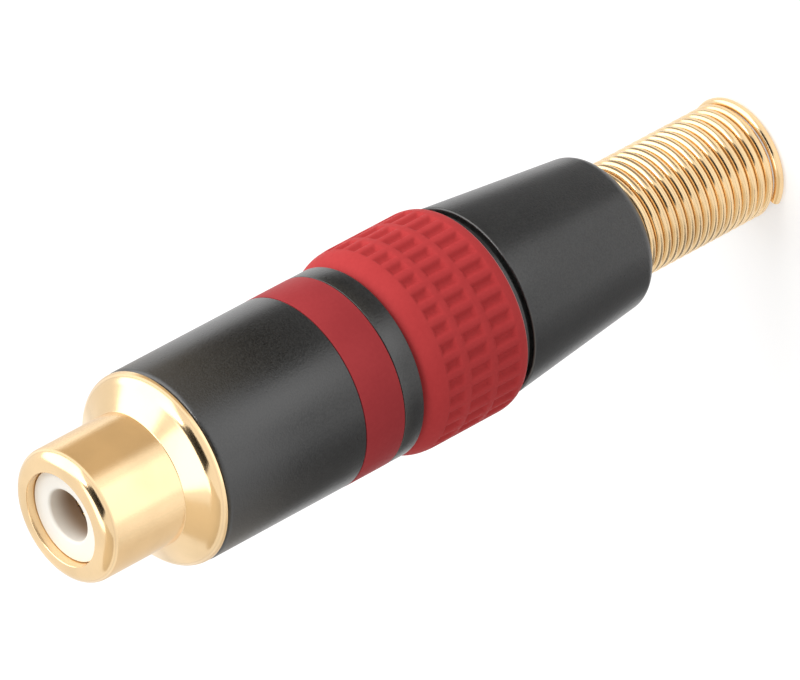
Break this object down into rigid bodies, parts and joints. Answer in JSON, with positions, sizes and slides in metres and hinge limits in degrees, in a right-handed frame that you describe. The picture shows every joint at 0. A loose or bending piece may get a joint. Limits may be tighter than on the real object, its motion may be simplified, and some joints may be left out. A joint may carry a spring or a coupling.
{
  "type": "rca socket",
  "caption": "In-line phono socket: gold sleeve with a white insulated centre contact, black barrel with a red band, red pocketed grip ring, coned rear shell and spring strain relief.",
  "frame": {"origin": "on the axis, level with the free end of the spring that the socket stands on", "axes": "+Z along the axis towards the socket's mouth; the ground tag's arm lies on the -Y side"},
  "size_m": [0.013, 0.013, 0.0532],
  "materials": {
    "strain_relief_spring": "gold plated spring wire",
    "liner_tube": "plain insulating tube",
    "rear_shell": "satin black",
    "grip_ring": "satin red",
    "barrel": "satin black",
    "colour_band": "satin dark red",
    "outer_contact": "polished gold plating",
    "insulator": "white",
    "centre_contact": "gold plating",
    "contact_retainer": "white",
    "ground_tag": "tinned"
  },
  "bodies": {
    "cable_end": {"strain_relief_spring": "strain_relief_spring", "liner_tube": "liner_tube"},
    "shell": {"rear_shell": "rear_shell", "grip_ring": "grip_ring"},
    "socket_head": {"outer_contact": "outer_contact", "insulator": "insulator", "centre_contact": "centre_contact", "contact_retainer": "contact_retainer", "ground_tag": "ground_tag", "barrel": "barrel", "colour_band": "colour_band"}
  },
  "joints": [
    {"name": "head_lift", "type": "slide", "parent": "cable_end", "child": "socket_head", "axis": [0, 0, 1], "range_m": [0, 0.00525]},
    {"name": "shell_turn", "type": "hinge", "parent": "cable_end", "child": "shell", "pos_m": [0, 0, 0.0308], "axis": [0, 0, -1], "range_deg": [0, 2521]}
  ],
  "couplings": [
    {"joint": "shell_turn", "follows": "head_lift", "rad_per_m": 8377.6}
  ]
}
